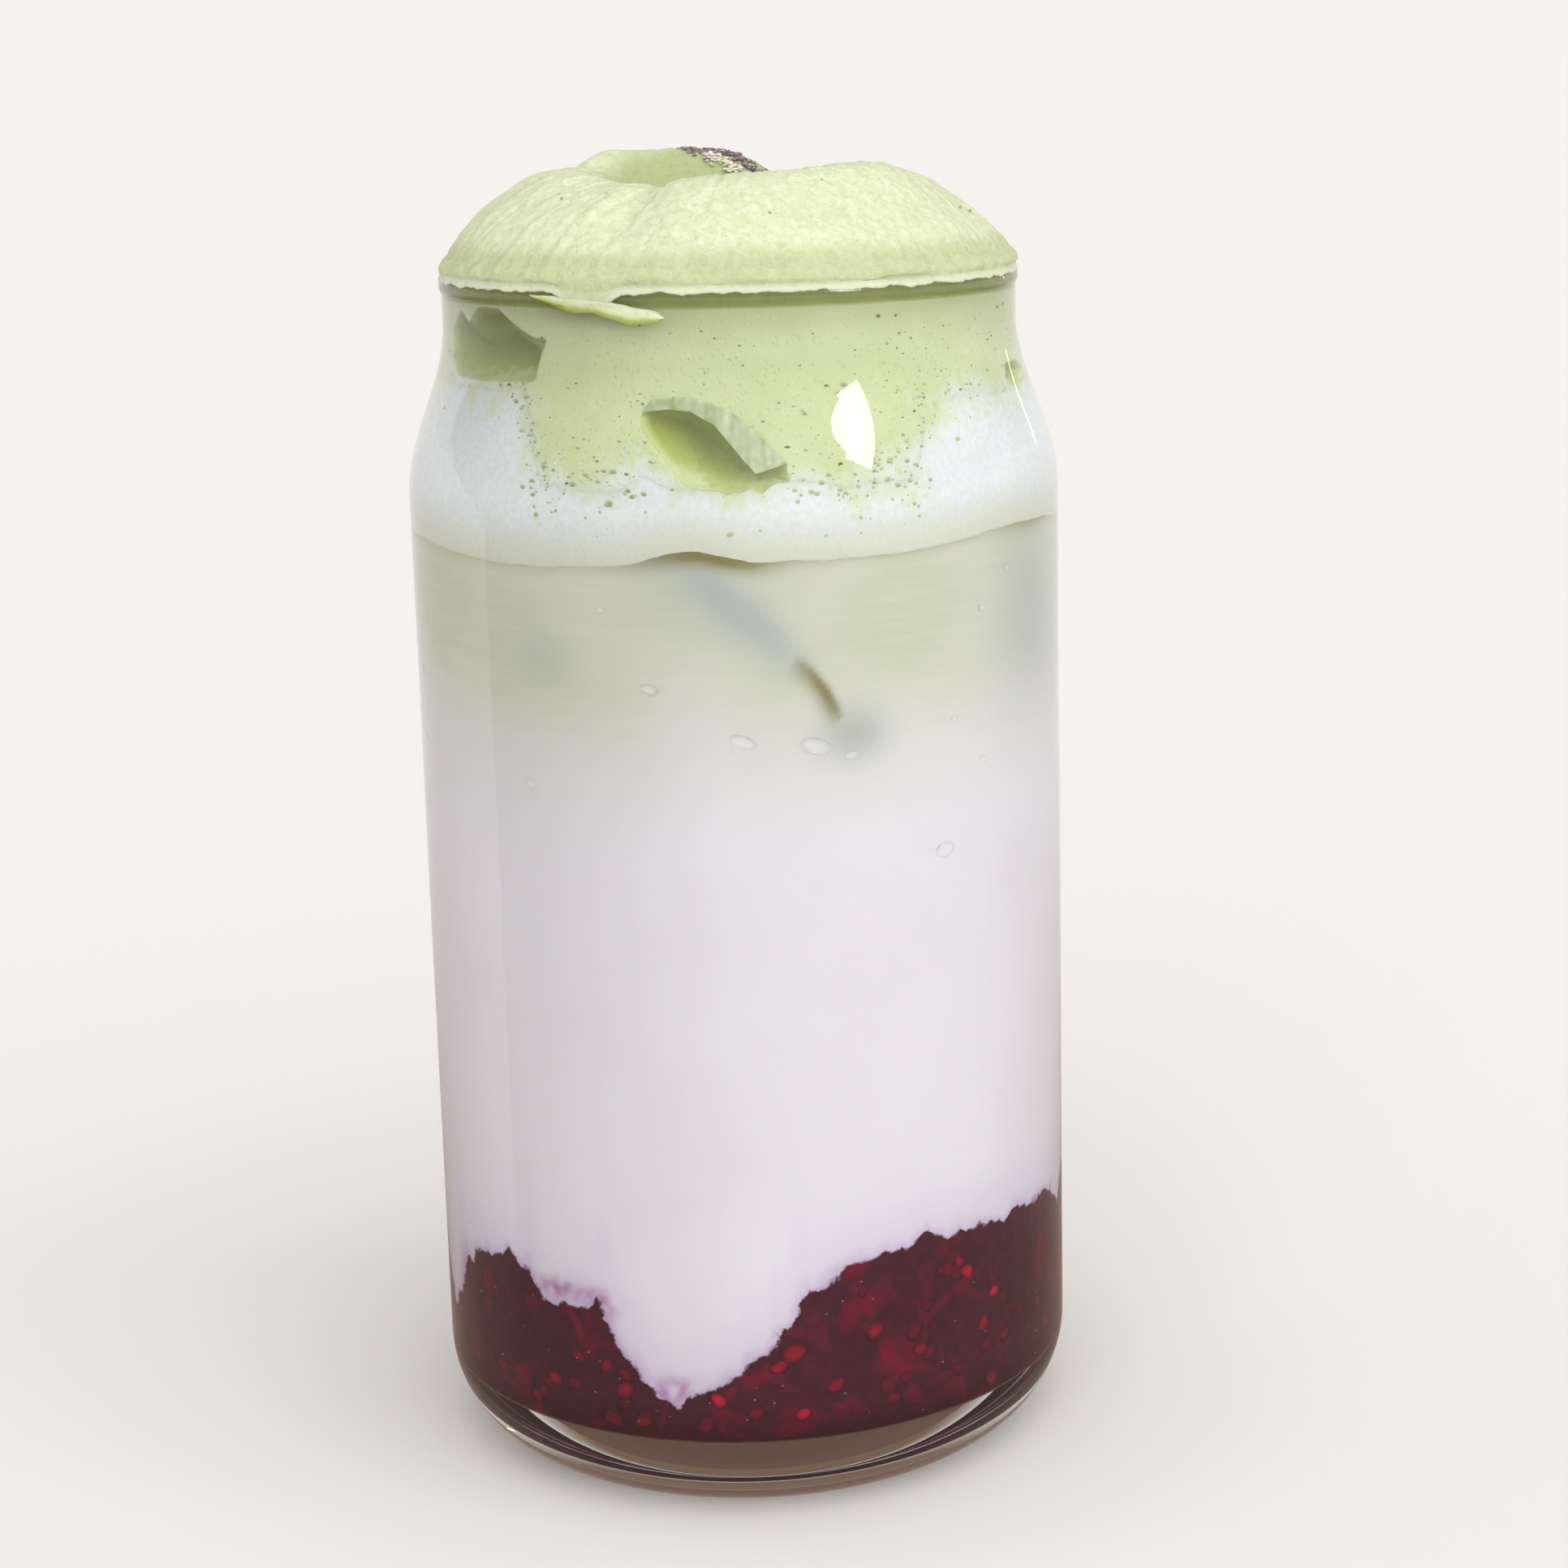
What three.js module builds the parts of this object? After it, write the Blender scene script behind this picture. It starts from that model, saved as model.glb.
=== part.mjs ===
// Iced matcha latte in a can-shaped glass, in layers from the bottom: berry jam, milk, milk foam, and a
// whipped matcha cream that fills the neck, domes over the rim and spills over the lip at one place.
// Millimetres, +Z up. The glass stands on Z = 0 with its axis on Z. Azimuth 0 faces -Y, the front, and
// grows towards +X, in degrees.
import * as THREE from 'three';

// Glass
const GLASS_HEIGHT = 138;
const BODY_RADIUS = 37.5;
const NECK_RADIUS = 32.8;
const WALL = 2.2;
const HEEL_RADIUS = 12.4; // arc from the body into the base
const HEEL_SWEEP = 63.7;
const SHOULDER_START = 113.2; // the body narrows to the neck between these two heights
const SHOULDER_END = 132.2;
const LIP_RADIUS = 1.4; // half the thickness of the round bead at the rim
const FLOOR_HEIGHT = 8.4; // the thick bottom, inside
const FLOOR_CORNER = 5;
const PUNT_RADIUS = 27; // shallow hollow inside the standing ring
const PUNT_DEPTH = 2.6;

// Layers. A wave is [azimuth, half-width of its flat top, half-width of its foot, rise].
const GAP = 0.3; // between touching pieces
const JAM_LEVEL = 28.5;
const JAM_WAVES = [
  [-15, 0, 29, -14], // the milk's deep notch at the front
  [-38, 0, 11, -4],
  [40, 10, 30, 2],
  [-80, 3, 16, -8],
  [95, 0, 24, -5],
  [150, 0, 34, -9],
  [-135, 8, 30, -5],
];
const FOAM_LEVEL = 109.2;
const FOAM_WAVES = [
  [-8, 0, 13, 1.2],
  [58, 0, 32, 1],
  [-42, 0, 34, -1],
  [150, 0, 40, -0.9],
  [-140, 0, 35, 0.8],
];
const CREAM_LEVEL = 116.6;
const CREAM_WAVES = [
  [-62, 18, 28, 9.5], // the foam climbs the wall on both sides of the front
  [66, 22, 36, 7.6],
  [165, 14, 40, 6],
  [-130, 8, 30, 4],
];

// Cream above the rim
const DOME_RADIUS = 32.3;
const DOME_FOOT = 0.9; // height of the dome's lower edge above the rim
const DOME_RISE = 9;
const DOME_FULLNESS = 4.6; // a larger power gives steeper sides and a flatter top
const DOME_SOFTNESS = 0.8;
// The spoon's swirl on the dome: a ridge that runs round the edge, past the front, and winds in behind
const SWIRL_START = 100;
const SWIRL_TURN = 400;
const SWIRL_RADIUS = 20.5;
const SWIRL_END_RADIUS = 5;
const SWIRL_WIDTH = 5;
const SWIRL_WINDS_IN = 0.4; // share of its length after which the ridge leaves the edge
const SWIRL_RISE = 1.2;
const SWIRL_WAVES = [
  [0, 0, 40, 1.1],
  [-38, 0, 25, -0.5],
  [-138, 18, 44, 2.5], // highest at the back
];
const DOME_WAVES = [
  [-24, 0, 12, -0.8], // soft crease down the front
  [4, 0, 22, 0.7],
];
const SPILL_AZIMUTH = -21; // the tongue of cream that hangs over the lip
const SPILL_CORE = 3;
const SPILL_REACH = 22;
const SPILL_SLACK = 0.2; // added to the gap where the tongue turns over the lip

// Fineness of the facets
const SEGMENTS = 48;
const ARC_STEPS = 4;
const LIP_STEPS = 6;
const SHOULDER_STEPS = 6;
const SURFACE_RINGS = [0, 0.35, 0.62, 0.84, 1];
const DOME_RINGS = [0.99, 0.95, 0.9, 0.83, 0.75, 0.66, 0.57, 0.48, 0.39, 0.3, 0.2, 0.1, 0];
const SWIRL_STEPS = 60;

const smooth = (t) => {
  const c = Math.min(1, Math.max(0, t));
  return c * c * (3 - 2 * c);
};

// Points of an arc about [radius, height], angles in degrees from outward, counted upwards
function arc(centre, size, from, to, steps) {
  const points = [];
  for (let i = 0; i <= steps; i++) {
    const angle = THREE.MathUtils.degToRad(from + ((to - from) * i) / steps);
    points.push([centre[0] + size * Math.cos(angle), centre[1] + size * Math.sin(angle)]);
  }
  return points;
}

const heelHeight = HEEL_RADIUS * Math.sin(THREE.MathUtils.degToRad(HEEL_SWEEP));
const cornerTop = FLOOR_HEIGHT + FLOOR_CORNER;
const cornerCentre = [BODY_RADIUS - WALL - FLOOR_CORNER, cornerTop];
const lipCentre = [NECK_RADIUS - WALL / 2, GLASS_HEIGHT - LIP_RADIUS];
const lipMeetsWall = THREE.MathUtils.radToDeg(Math.acos(WALL / 2 / LIP_RADIUS));

// Outer radius of the glass between the heel and the lip
function outerRadius(height) {
  const narrowing = smooth((height - SHOULDER_START) / (SHOULDER_END - SHOULDER_START));
  return BODY_RADIUS + (NECK_RADIUS - BODY_RADIUS) * narrowing;
}

// Radius of what fills the glass
const fillRadius = (height) => outerRadius(height) - WALL - GAP;

function shoulder(inset) {
  const points = [];
  for (let i = 0; i <= SHOULDER_STEPS; i++) {
    const height = SHOULDER_START + ((SHOULDER_END - SHOULDER_START) * i) / SHOULDER_STEPS;
    points.push([outerRadius(height) - inset, height]);
  }
  return points;
}

function glassProfile() {
  const heelCentre = [BODY_RADIUS - HEEL_RADIUS, heelHeight];
  return [
    [0, PUNT_DEPTH],
    [PUNT_RADIUS * 0.6, PUNT_DEPTH * 0.7],
    [PUNT_RADIUS, 0],
    ...arc(heelCentre, HEEL_RADIUS, -HEEL_SWEEP, 0, ARC_STEPS + 1),
    ...shoulder(0),
    ...arc(lipCentre, LIP_RADIUS, -lipMeetsWall, 180 + lipMeetsWall, LIP_STEPS),
    ...shoulder(WALL).reverse(),
    ...arc(cornerCentre, FLOOR_CORNER, 0, -90, ARC_STEPS),
    [0, FLOOR_HEIGHT],
  ];
}

// Sum of the waves at one azimuth
function waveSum(waves, azimuth) {
  let sum = 0;
  for (const [centre, core, reach, rise] of waves) {
    const away = Math.abs(THREE.MathUtils.euclideanModulo(azimuth - centre + 180, 360) - 180);
    sum += rise * smooth((reach - away) / (reach - core));
  }
  return sum;
}

// Height at which two layers meet: waves along the wall that fade towards the axis
function meeting(level, waves, azimuth, share) {
  return level + waveSum(waves, azimuth) * share * share;
}

// One side of such a meeting, from the axis to the wall, moved up or down by half the gap
function meetingRings(level, waves, azimuth, shift) {
  return SURFACE_RINGS.map((share) => {
    const height = meeting(level, waves, azimuth, share) + shift;
    return [share * fillRadius(height), height];
  });
}

// Points on the wall strictly between two heights
function wallRun(low, high, steps) {
  const points = [];
  for (let i = 1; i < steps; i++) {
    const height = low + ((high - low) * i) / steps;
    points.push([fillRadius(height), height]);
  }
  return points;
}

function layerProfile(bottom, top, wallSteps) {
  const low = bottom[bottom.length - 1][1];
  const high = top[top.length - 1][1];
  return [...bottom, ...wallRun(low, high, wallSteps), ...top.reverse()];
}

function jamProfile(azimuth) {
  const floor = arc(cornerCentre, FLOOR_CORNER - GAP, -90, 0, ARC_STEPS);
  const bottom = [[0, FLOOR_HEIGHT + GAP], ...floor];
  return layerProfile(bottom, meetingRings(JAM_LEVEL, JAM_WAVES, azimuth, -GAP / 2), 1);
}

function milkProfile(azimuth) {
  const bottom = meetingRings(JAM_LEVEL, JAM_WAVES, azimuth, GAP / 2);
  return layerProfile(bottom, meetingRings(FOAM_LEVEL, FOAM_WAVES, azimuth, -GAP / 2), 2);
}

function foamProfile(azimuth) {
  const bottom = meetingRings(FOAM_LEVEL, FOAM_WAVES, azimuth, GAP / 2);
  return layerProfile(bottom, meetingRings(CREAM_LEVEL, CREAM_WAVES, azimuth, -GAP / 2), SHOULDER_STEPS);
}

// How far the swirl's ridge lifts the cream at a point
function swirlLift(x, y) {
  let lift = 0;
  for (let i = 0; i <= SWIRL_STEPS; i++) {
    const along = i / SWIRL_STEPS;
    const azimuth = SWIRL_START - SWIRL_TURN * along;
    const angle = THREE.MathUtils.degToRad(azimuth);
    const inward = smooth((along - SWIRL_WINDS_IN) / (1 - SWIRL_WINDS_IN));
    const radius = THREE.MathUtils.lerp(SWIRL_RADIUS, SWIRL_END_RADIUS, inward);
    const rise = SWIRL_RISE + waveSum(SWIRL_WAVES, azimuth);
    const away = Math.hypot(x - radius * Math.sin(angle), y + radius * Math.cos(angle));
    lift = Math.max(lift, rise * Math.exp(-((away / SWIRL_WIDTH) ** 2)));
  }
  return lift;
}

function domeHeight(azimuth, share) {
  const radius = share * DOME_RADIUS;
  const angle = THREE.MathUtils.degToRad(azimuth);
  const fullness = Math.pow(1 - Math.pow(share, DOME_FULLNESS), DOME_SOFTNESS);
  const folds = waveSum(DOME_WAVES, azimuth) * smooth(3 * share - 1) * smooth(6 * (1 - share));
  const lift = swirlLift(radius * Math.sin(angle), -radius * Math.cos(angle));
  return GLASS_HEIGHT + DOME_FOOT + DOME_RISE * fullness + folds + lift;
}

// The cream's edge round the lip, as [distance from the bead's centre, angle]: at rest it stops on top
// of the bead, and in the spill it hangs down outside the neck.
function creamEdge(azimuth) {
  const clear = LIP_RADIUS + GAP;
  const rest = [[clear, 60], [1.95, 58], [2.25, 60], [2.6, 66]];
  const spilt = [[clear + SPILL_SLACK, -38], [2.65, -53], [3.1, -41], [2.9, -8]];
  const spill = smooth((SPILL_REACH - Math.abs(azimuth - SPILL_AZIMUTH)) / (SPILL_REACH - SPILL_CORE));
  const edge = rest.map(([size, angle], i) => [
    THREE.MathUtils.lerp(size, spilt[i][0], spill),
    THREE.MathUtils.lerp(angle, spilt[i][1], spill),
  ]);
  const overLip = arc(lipCentre, edge[0][0], 180 + lipMeetsWall, edge[0][1], LIP_STEPS);
  return [...overLip, ...edge.slice(1).map(([size, angle]) => arc(lipCentre, size, angle, angle, 1)[0])];
}

function creamProfile(azimuth) {
  const bottom = meetingRings(CREAM_LEVEL, CREAM_WAVES, azimuth, GAP / 2);
  const low = bottom[bottom.length - 1][1];
  const dome = DOME_RINGS.map((share) => [share * DOME_RADIUS, domeHeight(azimuth, share)]);
  return [...bottom, ...wallRun(low, lipCentre[1], SHOULDER_STEPS), ...creamEdge(azimuth), ...dome];
}

// Splits the quads of a solid's lower surface along their other diagonal, so that its facets match those
// of the surface below it
function fitLowerSurface(geometry, rows) {
  const index = geometry.getIndex();
  for (let column = 0; column < SEGMENTS; column++) {
    for (let row = 0; row < SURFACE_RINGS.length - 1; row++) {
      const corner = column * rows + row;
      const next = corner + rows;
      const first = 6 * (column * (rows - 1) + row);
      const split = [corner, next, next + 1, next + 1, corner + 1, corner];
      split.forEach((vertex, i) => index.setX(first + i, vertex));
    }
  }
}

// Closed solid with the outline profileAt(azimuth) at each azimuth: [radius, height] points that run
// from the axis below, outwards and up, back to the axis above
function turnedSolid(profileAt) {
  const rows = profileAt(0).length;
  const blank = Array.from({ length: rows }, (_, row) => new THREE.Vector2(1, row));
  const geometry = new THREE.LatheGeometry(blank, SEGMENTS);
  const position = geometry.getAttribute('position');
  for (let column = 0; column <= SEGMENTS; column++) {
    const turn = THREE.MathUtils.euclideanModulo(column, SEGMENTS) / SEGMENTS;
    const azimuth = 360 * turn - 180;
    const angle = THREE.MathUtils.degToRad(azimuth);
    profileAt(azimuth).forEach(([radius, height], row) => {
      position.setXYZ(column * rows + row, radius * Math.sin(angle), -radius * Math.cos(angle), height);
    });
  }
  fitLowerSurface(geometry, rows);
  geometry.computeVertexNormals();
  return geometry;
}

function addPiece(group, name, profileAt, look) {
  const material = new THREE.MeshStandardMaterial({ metalness: 0, ...look });
  const mesh = new THREE.Mesh(turnedSolid(profileAt), material);
  mesh.name = name;
  group.add(mesh);
}

const clearGlass = { color: '#eef2f0', roughness: 0.03, transparent: true, opacity: 0.3 };
const latte = new THREE.Group();
addPiece(latte, 'glass', glassProfile, clearGlass);
addPiece(latte, 'berry_jam', jamProfile, { color: '#4a272e', roughness: 0.25 });
addPiece(latte, 'milk', milkProfile, { color: '#e3dfe3', roughness: 0.3 });
addPiece(latte, 'milk_foam', foamProfile, { color: '#e2e5e4', roughness: 0.7 });
addPiece(latte, 'matcha_cream', creamProfile, { color: '#dfe6bd', roughness: 0.6 });

export default latte;
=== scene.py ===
import math

import bmesh
import bpy
import numpy as np
from mathutils import Matrix, Vector, noise


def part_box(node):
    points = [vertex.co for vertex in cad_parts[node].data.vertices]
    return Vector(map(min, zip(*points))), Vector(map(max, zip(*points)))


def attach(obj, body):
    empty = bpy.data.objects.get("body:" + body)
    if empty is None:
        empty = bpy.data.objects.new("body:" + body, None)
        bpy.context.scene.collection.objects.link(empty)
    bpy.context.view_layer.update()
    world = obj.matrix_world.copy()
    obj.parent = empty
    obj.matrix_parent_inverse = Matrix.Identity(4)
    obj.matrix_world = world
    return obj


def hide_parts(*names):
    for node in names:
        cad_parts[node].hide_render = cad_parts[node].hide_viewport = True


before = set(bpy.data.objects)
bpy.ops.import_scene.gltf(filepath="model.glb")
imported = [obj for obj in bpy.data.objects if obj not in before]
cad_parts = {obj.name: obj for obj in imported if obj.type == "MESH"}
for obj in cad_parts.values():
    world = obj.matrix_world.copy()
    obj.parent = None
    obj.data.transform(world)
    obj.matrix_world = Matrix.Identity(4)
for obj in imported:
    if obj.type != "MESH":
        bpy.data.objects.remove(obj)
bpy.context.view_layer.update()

MM = 0.001

# Glass
glass_low, glass_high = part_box("glass")
GLASS_HEIGHT = glass_high.z / MM
BODY_RADIUS = glass_high.x / MM
NECK_RADIUS = 32.8
WALL = 2.2
HEEL_RADIUS = 12.4
HEEL_SWEEP = 63.7
SHOULDER_START = 113.2
SHOULDER_END = 132.2
LIP_RADIUS = 1.4
FLOOR_HEIGHT = 8.4
FLOOR_CORNER = 5
PUNT_RADIUS = 27
PUNT_DEPTH = 2.6
BITE = 0.15  # how far the contents reach into the wall, so that no air gap shows
LIP_CENTRE = (NECK_RADIUS - WALL / 2, GLASS_HEIGHT - LIP_RADIUS)
LIP_MEETS_WALL = math.degrees(math.acos(WALL / 2 / LIP_RADIUS))

# Where the layers meet. A wave is (azimuth, half-width of its flat top, half-width of its foot, rise).
JAM_LEVEL = 26
JAM_EDGE = (  # the torn edge all round, as (azimuth, height)
    (-84, 24), (-76, 16), (-71, 19), (-67, 24.5), (-58, 27), (-51, 28), (-46, 27), (-42, 24), (-36, 24),
    (-30, 24.5), (-26, 21), (-22, 17.5), (-18, 14.3), (-15, 13.5), (-11, 15), (-4, 18), (2, 20.5),
    (6, 23.5), (9, 27), (12, 28.5), (20, 30), (32, 31), (46, 30), (62, 30), (71, 29), (76, 26.5), (81, 30),
    (95, 27), (115, 23), (140, 19), (160, 23), (185, 21), (205, 25), (230, 22), (255, 26),
)
FOAM_LEVEL = 109.2
FOAM_WAVES = (
    (-8, 0, 13, 1.3),
    (58, 0, 32, 1.2),
    (-42, 0, 34, -0.9),
    (150, 0, 40, -0.9),
    (-140, 0, 35, 0.8),
)
CREAM_LEVEL = 116.6
CREAM_WAVES = (
    (-62, 18, 28, 9.5),  # the foam climbs the wall on both sides of the front
    (66, 23, 37, 7.8),
    (-14.5, 0, 6, 1.4),
    (11, 0, 7, 0.9),
    (165, 14, 40, 6),
    (-130, 8, 30, 4),
)

# Cream above the rim
DOME_RADIUS = 32.3
DOME_FOOT = 0.9
DOME_RISE = 9
DOME_FULLNESS = 4.6
DOME_SOFTNESS = 0.8
DOME_ROWS = 76
SWIRL_START = 100
SWIRL_TURN = 400
SWIRL_RADIUS = 20.5
SWIRL_END_RADIUS = 5
SWIRL_WIDTH = 4.6
SWIRL_WINDS_IN = 0.4
SWIRL_RISE = 1.2
SWIRL_WAVES = ((-38, 0, 25, -0.9), (-154, 24, 34, 2.2), (45, 0, 42, 1.5))
HOLLOW_RADIUS = 17
HOLLOW_SLOPE = 10
HOLLOW_DEPTH = 2.6
DOME_WAVES = ((-24, 0, 11, -1.1), (4, 0, 22, 0.7), (-85, 15, 45, 0.7))

# The cream's edge round the bead of the lip, as (distance from the bead's centre, angle): first a thin film
# on the glass, then the foot of the dome. In one place a little cream has run over the lip.
EDGE_AT_REST = ((1.38, 24), (1.5, 27), (1.55, 34), (1.6, 44), (1.9, 52), (2.25, 55), (2.6, 63), (2.9, 74))
EDGE_SPILT = ((1.38, -36), (1.5, -38), (1.6, -28), (1.65, -5), (1.75, 20), (2.1, 40), (2.5, 56), (2.9, 72))
FILM_KNOTS = 3.2
LIP_ROWS = 12  # rows of points from inside the lip to where the film ends
WET_LIP_ROWS = 8  # how many of them are seen through the glass
FOOT_ROWS = 8  # rows at the foot of the dome that are as lumpy as the dome
FAR_FROM_FOAM = 20  # a distance above the foam at which no foam shows
SPILL_WAVE = ((-27, 3, 8, 0.8),)

# Ice that touches the wall, as outlines of (azimuth, height)
ICE_WINDOWS = {
    "left": (
        (-72, 132.5), (-67, 134.8), (-63.5, 133.4), (-59, 135.4), (-52, 135.4), (-46, 133.3),
        (-42, 132.3), (-38.5, 132.1), (-40, 130), (-41, 127.4), (-55, 126.9), (-66, 127), (-71, 129),
    ),
    "middle": (
        (-17, 124.4), (-15, 125.5), (-8, 125.8), (-0.5, 124.3), (5, 121.5), (8.8, 119),
        (9.3, 117.2), (6.7, 116.5), (2, 116), (-5, 116.3), (-9, 117.5), (-13, 120.4), (-16.5, 122.8),
    ),
    "right": ((66, 125.4), (68, 127), (75, 127), (80, 125.6), (76, 124.5), (68, 124.4)),
}

POCKET_EDGE = 1.2  # how far the cream lies behind ice: just inside its outline, and further in
POCKET_DEPTH = 6
ICE_DEPTH = 7.5

# Soft patches in the milk: (azimuth, height, reach in degrees, reach in millimetres, strength)
TEA_PATCHES = (
    (-62, 102, 17, 7, 0.4), (33, 103, 10, 6, 0.3), (-37, 96, 12, 4, 0.25), (20, 97, 25, 10, 0.1),
    (120, 103, 30, 7, 0.4), (-150, 101, 25, 8, 0.4), (178, 98, 20, 7, 0.3),
)
# Blue-grey where ice lies behind the milk; the patch at azimuth 20 is a painted shadow below a cube's edge
CHILL_AND_SHADOW_PATCHES = (
    (62, 101, 12, 10, 0.65), (-36, 98.5, 6, 3, 0.4), (20, 90, 6, 3, 0.8), (-3, 104, 12, 4, 0.3),
    (95, 98, 20, 8, 0.6), (-110, 96, 20, 8, 0.6), (150, 93, 16, 6, 0.4),
)
# Painted shadows: below a sunk cube's edge, and under the foam's edge at the right and at the front
PAINTED_SHADOW_PATCHES = ((18.5, 90.8, 4.5, 2.6, 0.15), (62, 110.6, 9, 1.6, 0.4))
FOAM_SHADE = ((-5, 109.3, 10, 3, 1),)
SMEARS = ((-15.5, 15.3, 5, 1.6, 1), (-37, 25.6, 7, 1.3, 1), (-29, 24.5, 3, 1.5, 0.7), (-68, 22, 3, 4, 0.7))
# A sunk ice cube shows its edge through the milk: a soft streak, then a sliver that touches the wall;
# the sliver is painted dark shade
ICE_STREAK = ((-18, 112), (-4, 107), (6, 100.8), (12, 96.5))
ICE_SLIVER = ((9.2, 98.8), (12, 97.2), (14.4, 95.2), (16.1, 93.2), (17, 91.6))

# How many of each small thing are scattered round the glass or on the dome
SEED_COUNT = 120
JAM_BUBBLE_COUNT = 110
CREAM_BUBBLE_COUNT = 460
SPECK_COUNT = 500
DOME_SPECK_COUNT = 90
DROP_COUNT = 40

# Azimuths of the contents' columns: fine at the front, coarser behind
FRONT_HALF = 96
AZIMUTHS = np.concatenate((
    np.arange(-FRONT_HALF, FRONT_HALF, 0.5),
    np.arange(FRONT_HALF, 360 - FRONT_HALF, 1.2),
))
DEGREE = math.pi * (BODY_RADIUS - WALL) / 180  # length of a degree on the inside of the wall


def smooth(t):
    t = np.clip(t, 0, 1)
    return t * t * (3 - 2 * t)


def lerp(a, b, t):
    return a + (b - a) * t


def turn_between(a, b):
    return np.abs((a - b + 180) % 360 - 180)


def wave_sum(waves, azimuth):
    total = np.zeros_like(azimuth, dtype=float)
    for centre, core, reach, rise in waves:
        total += rise * smooth((reach - turn_between(azimuth, centre)) / (reach - core))
    return total


def ripple(azimuth, seed, longest, shortest, depth):
    """Irregular line round the glass, of waves between two lengths in degrees."""
    rng = np.random.default_rng(seed)
    total = np.zeros_like(azimuth, dtype=float)
    for turns in np.unique(np.geomspace(360 / longest, 360 / shortest, 14).round()):
        size = (360 / longest / turns) ** 0.6
        total += size * np.sin(np.radians(azimuth) * turns + rng.uniform(0, 2 * math.pi))
    return depth * total / 3


def grain(points, size, seed):
    """Smooth noise from -1 to 1 at each point, with lumps of about one size."""
    flat = points.reshape(-1, 3) / size + seed * 17.3
    return np.array([noise.noise(p) for p in flat.tolist()]).reshape(points.shape[:-1])


def outer_radius(height):
    narrowing = smooth((height - SHOULDER_START) / (SHOULDER_END - SHOULDER_START))
    return lerp(BODY_RADIUS, NECK_RADIUS, narrowing)


def fill_radius(height):
    return outer_radius(height) - WALL + BITE


def lip_radius(height):
    """Radius of the glass's outside where the bead of the lip stands out from the neck."""
    bead = np.sqrt(np.clip(LIP_RADIUS ** 2 - (height - LIP_CENTRE[1]) ** 2, 0, None))
    return np.maximum(NECK_RADIUS, LIP_CENTRE[0] + bead)


def place(azimuth, radius, height):
    """Points from azimuth, radius and height."""
    angle = np.radians(azimuth)
    return np.stack(np.broadcast_arrays(radius * np.sin(angle), -radius * np.cos(angle), height), -1)


def arc(centre, size, start, end, steps):
    angle = np.radians(np.linspace(start, end, steps + 1))
    return np.stack((centre[0] + size * np.cos(angle), centre[1] + size * np.sin(angle)), -1)


# Lines where the layers meet, by azimuth

def jam_line(azimuth):
    spots, heights = zip(*JAM_EDGE)
    return np.interp(azimuth, spots, heights, period=360) + ripple(azimuth, 3, 16, 4, 0.4)


def foam_line(azimuth):
    return FOAM_LEVEL + wave_sum(FOAM_WAVES, azimuth) + ripple(azimuth, 5, 20, 1, 0.1)


def cream_line(azimuth):
    return CREAM_LEVEL + wave_sum(CREAM_WAVES, azimuth) + ripple(azimuth, 7, 14, 2, 0.35)


def above(line, height):
    """Distance of points above a line on the wall, measured across the line."""
    slope = np.gradient(line, AZIMUTHS * DEGREE)
    return (height - line[:, None]) / np.sqrt(1 + slope[:, None] ** 2)


# Meshes

def finish_piece(name, points, faces, material, attributes=None):
    """Makes a closed piece from points in millimetres and lets it stand with the glass."""
    mesh = bpy.data.meshes.new(name)
    mesh.from_pydata((np.asarray(points) * MM).tolist(), [], faces)
    for key, values in (attributes or {}).items():
        layer = mesh.attributes.new(key, "FLOAT", "POINT")
        layer.data.foreach_set("value", np.asarray(values, dtype=np.float32).ravel())
    skin = bmesh.new()
    skin.from_mesh(mesh)
    bmesh.ops.recalc_face_normals(skin, faces=skin.faces)
    skin.to_mesh(mesh)
    skin.free()
    mesh.polygons.foreach_set("use_smooth", [True] * len(mesh.polygons))
    mesh.set_sharp_from_angle(angle=math.radians(55))
    mesh.materials.append(material)
    piece = bpy.data.objects.new(name, mesh)
    bpy.context.scene.collection.objects.link(piece)
    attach(piece, "root")
    return piece


def wrapped_faces(columns, rows):
    """Faces of a skin wrapped round an axis, whose first and last rows are single points."""
    inner = rows - 2
    first, last = columns * inner, columns * inner + 1
    faces = []
    for c in range(columns):
        a, b = c * inner, (c + 1) % columns * inner
        faces.append((first, b, a))
        faces.extend((a + r, b + r, b + r + 1, a + r + 1) for r in range(inner - 1))
        faces.append((a + inner - 1, b + inner - 1, last))
    return faces


def wrapped_piece(name, grid, material, attributes=None):
    """Closed piece from a grid of points, [column][row], whose columns close up into a ring."""
    columns, rows = grid.shape[:2]

    def flatten(values):
        body = values[:, 1:-1].reshape(columns * (rows - 2), *values.shape[2:])
        return np.concatenate((body, values[:1, 0], values[:1, -1]))

    kept = {key: flatten(values) for key, values in (attributes or {}).items()}
    return finish_piece(name, flatten(grid), wrapped_faces(columns, rows), material, kept)


def strip_grid(upper, lower, surface, lift, sink, columns, rows):
    """Grid of a pointed strip on a turned surface, between two edges of (azimuth, height) points that meet
    at both ends. Also gives how far along and across the strip each point is."""
    along = np.linspace(0, 1, columns)[None, :]
    half = np.linspace(0, 1, rows)
    across = np.concatenate((half, half[-2:0:-1]))[:, None]
    side = np.concatenate((np.full(rows, lift), np.full(rows - 2, -sink)))[:, None]
    azimuth = lerp(upper[0][0], upper[-1][0], along)
    top, bottom = (np.interp(azimuth, *zip(*edge)) for edge in (upper, lower))
    height = lerp(top, bottom, across)
    swell = np.sqrt(4 * across * (1 - across)) * np.sqrt(np.clip(10 * np.sin(math.pi * along), 0, 1))
    return place(azimuth, surface(height) + side * swell, height), along + 0 * across, across + 0 * along


def unit_ball(divisions):
    ball = bmesh.new()
    bmesh.ops.create_icosphere(ball, subdivisions=divisions, radius=1)
    points = np.array([v.co for v in ball.verts])
    faces = np.array([[v.index for v in f.verts] for f in ball.faces])
    ball.free()
    return points, faces


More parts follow.
